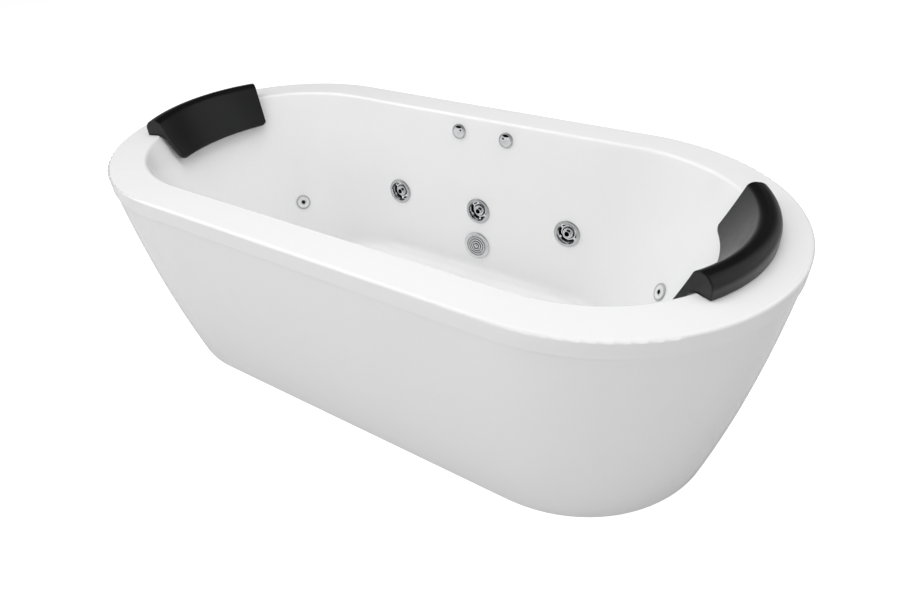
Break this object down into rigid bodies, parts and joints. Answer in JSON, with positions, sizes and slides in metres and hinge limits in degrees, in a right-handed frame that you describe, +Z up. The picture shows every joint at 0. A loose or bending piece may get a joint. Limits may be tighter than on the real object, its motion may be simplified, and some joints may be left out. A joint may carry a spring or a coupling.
{
  "type": "jetted bathtub",
  "caption": "Oval free-standing spa bath in white acrylic: flat rim over a bowed apron, wall jets, suction grille, air control, start button and black headrests hooked over the rim ends.",
  "frame": {"origin": "on the floor under the middle of the bath", "axes": "+X along the length, away from the pump; +Y to the long wall with the controls; +Z up"},
  "size_m": [1.8, 0.88, 0.6277],
  "materials": {
    "acrylic": "gloss",
    "chrome": "polished",
    "knob_chrome": "satin",
    "back_jet_finish": "gloss",
    "headrest_skin": "satin",
    "cup_rubber": "satin",
    "white_moulding": "satin",
    "air_hose": "satin",
    "black_moulding": "matte",
    "motor_paint": "satin",
    "zinc_steel": "satin",
    "black_rubber": "matte",
    "board": "matte"
  },
  "bodies": {
    "bath": {"air_control_body": "knob_chrome", "air_pipes": "air_hose", "apron": "acrylic", "apron_brackets": "zinc_steel", "back_jet_bodies": "white_moulding", "back_jet_feeds": "white_moulding", "back_nuts": "white_moulding", "base_board": "board", "bath_shell": "acrylic", "bracket_screws": "zinc_steel", "button_air_line": "air_hose", "cable_gland": "black_moulding", "foot_lock_nuts": "zinc_steel", "frame_crossbars": "zinc_steel", "frame_rails": "zinc_steel", "front_left_jet_body": "black_moulding", "front_middle_jet_body": "black_moulding", "front_right_jet_body": "black_moulding", "left_front_back_jet_face": "back_jet_finish", "left_rear_back_jet_face": "back_jet_finish", "levelling_feet": "zinc_steel", "pump_base_plate": "black_moulding", "pump_motor": "motor_paint", "pump_mounts": "black_rubber", "pump_volute": "black_moulding", "rear_left_jet_body": "black_moulding", "rear_middle_jet_body": "black_moulding", "rear_right_jet_body": "black_moulding", "right_front_back_jet_face": "back_jet_finish", "right_rear_back_jet_face": "back_jet_finish", "start_button_body": "knob_chrome", "suction_body": "white_moulding", "suction_grille": "chrome", "suction_pipe": "white_moulding", "suction_screw": "chrome", "switch_box": "black_moulding", "waste_body": "chrome", "water_pipes": "white_moulding", "water_tee": "white_moulding"},
    "rear_left_jet_ring": {"rear_left_jet_ring": "chrome"},
    "rear_left_jet_nozzle": {"rear_left_jet_nozzle": "chrome"},
    "rear_middle_jet_ring": {"rear_middle_jet_ring": "chrome"},
    "rear_middle_jet_nozzle": {"rear_middle_jet_nozzle": "chrome"},
    "rear_right_jet_ring": {"rear_right_jet_ring": "chrome"},
    "rear_right_jet_nozzle": {"rear_right_jet_nozzle": "chrome"},
    "front_left_jet_ring": {"front_left_jet_ring": "chrome"},
    "front_left_jet_nozzle": {"front_left_jet_nozzle": "chrome"},
    "front_middle_jet_ring": {"front_middle_jet_ring": "chrome"},
    "front_middle_jet_nozzle": {"front_middle_jet_nozzle": "chrome"},
    "front_right_jet_ring": {"front_right_jet_ring": "chrome"},
    "front_right_jet_nozzle": {"front_right_jet_nozzle": "chrome"},
    "air_control_knob": {"air_control_knob": "knob_chrome"},
    "start_button_cap": {"start_button_cap": "knob_chrome"},
    "waste_plug": {"waste_plug": "chrome"},
    "pump_rotor": {"motor_rotor": "zinc_steel", "impeller": "black_moulding"},
    "left_headrest": {"left_headrest_pad": "headrest_skin", "left_headrest_cups": "cup_rubber"},
    "right_headrest": {"right_headrest_pad": "headrest_skin", "right_headrest_cups": "cup_rubber"}
  },
  "joints": [
    {"name": "rear_left_jet_ring_turn", "type": "hinge", "parent": "bath", "child": "rear_left_jet_ring", "pos_m": [-0.292, 0.31623, 0.304], "axis": [0, -0.9951, 0.0987], "continuous": true},
    {"name": "rear_left_jet_nozzle_tilt", "type": "hinge", "parent": "rear_left_jet_ring", "child": "rear_left_jet_nozzle", "pos_m": [-0.292, 0.33016, 0.30262], "axis": [0, 0.0987, 0.9951], "range_deg": [-12, 12]},
    {"name": "rear_middle_jet_ring_turn", "type": "hinge", "parent": "bath", "child": "rear_middle_jet_ring", "pos_m": [0, 0.31623, 0.304], "axis": [0, -0.9951, 0.0987], "continuous": true},
    {"name": "rear_middle_jet_nozzle_tilt", "type": "hinge", "parent": "rear_middle_jet_ring", "child": "rear_middle_jet_nozzle", "pos_m": [0, 0.33016, 0.30262], "axis": [0, 0.0987, 0.9951], "range_deg": [-12, 12]},
    {"name": "rear_right_jet_ring_turn", "type": "hinge", "parent": "bath", "child": "rear_right_jet_ring", "pos_m": [0.292, 0.31623, 0.304], "axis": [0, -0.9951, 0.0987], "continuous": true},
    {"name": "rear_right_jet_nozzle_tilt", "type": "hinge", "parent": "rear_right_jet_ring", "child": "rear_right_jet_nozzle", "pos_m": [0.292, 0.33016, 0.30262], "axis": [0, 0.0987, 0.9951], "range_deg": [-12, 12]},
    {"name": "front_left_jet_ring_turn", "type": "hinge", "parent": "bath", "child": "front_left_jet_ring", "pos_m": [-0.292, -0.31623, 0.304], "axis": [0, 0.9951, 0.0987], "continuous": true},
    {"name": "front_left_jet_nozzle_tilt", "type": "hinge", "parent": "front_left_jet_ring", "child": "front_left_jet_nozzle", "pos_m": [-0.292, -0.33016, 0.30262], "axis": [0, -0.0987, 0.9951], "range_deg": [-12, 12]},
    {"name": "front_middle_jet_ring_turn", "type": "hinge", "parent": "bath", "child": "front_middle_jet_ring", "pos_m": [0, -0.31623, 0.304], "axis": [0, 0.9951, 0.0987], "continuous": true},
    {"name": "front_middle_jet_nozzle_tilt", "type": "hinge", "parent": "front_middle_jet_ring", "child": "front_middle_jet_nozzle", "pos_m": [0, -0.33016, 0.30262], "axis": [0, -0.0987, 0.9951], "range_deg": [-12, 12]},
    {"name": "front_right_jet_ring_turn", "type": "hinge", "parent": "bath", "child": "front_right_jet_ring", "pos_m": [0.292, -0.31623, 0.304], "axis": [0, 0.9951, 0.0987], "continuous": true},
    {"name": "front_right_jet_nozzle_tilt", "type": "hinge", "parent": "front_right_jet_ring", "child": "front_right_jet_nozzle", "pos_m": [0.292, -0.33016, 0.30262], "axis": [0, -0.0987, 0.9951], "range_deg": [-12, 12]},
    {"name": "air_control_turn", "type": "hinge", "parent": "bath", "child": "air_control_knob", "pos_m": [-0.0704, 0.33934, 0.537], "axis": [0, 0.9951, -0.0987], "range_deg": [0, 180]},
    {"name": "start_button_press", "type": "slide", "parent": "bath", "child": "start_button_cap", "axis": [0, 0.9951, -0.0987], "range_m": [0, 0.002], "stiffness_N_per_m": 1500, "springref_m": -0.001},
    {"name": "waste_plug_lift", "type": "slide", "parent": "bath", "child": "waste_plug", "axis": [0, 0, 1], "range_m": [0, 0.008]},
    {"name": "pump_rotor_spin", "type": "hinge", "parent": "bath", "child": "pump_rotor", "pos_m": [-0.69, -0.1, 0.095], "axis": [0, 1, 0], "continuous": true},
    {"name": "left_headrest_lift_off", "type": "slide", "parent": "bath", "child": "left_headrest", "axis": [0, 0, 1], "range_m": [0, 0.15]},
    {"name": "right_headrest_lift_off", "type": "slide", "parent": "bath", "child": "right_headrest", "axis": [0, 0, 1], "range_m": [0, 0.15]}
  ]
}
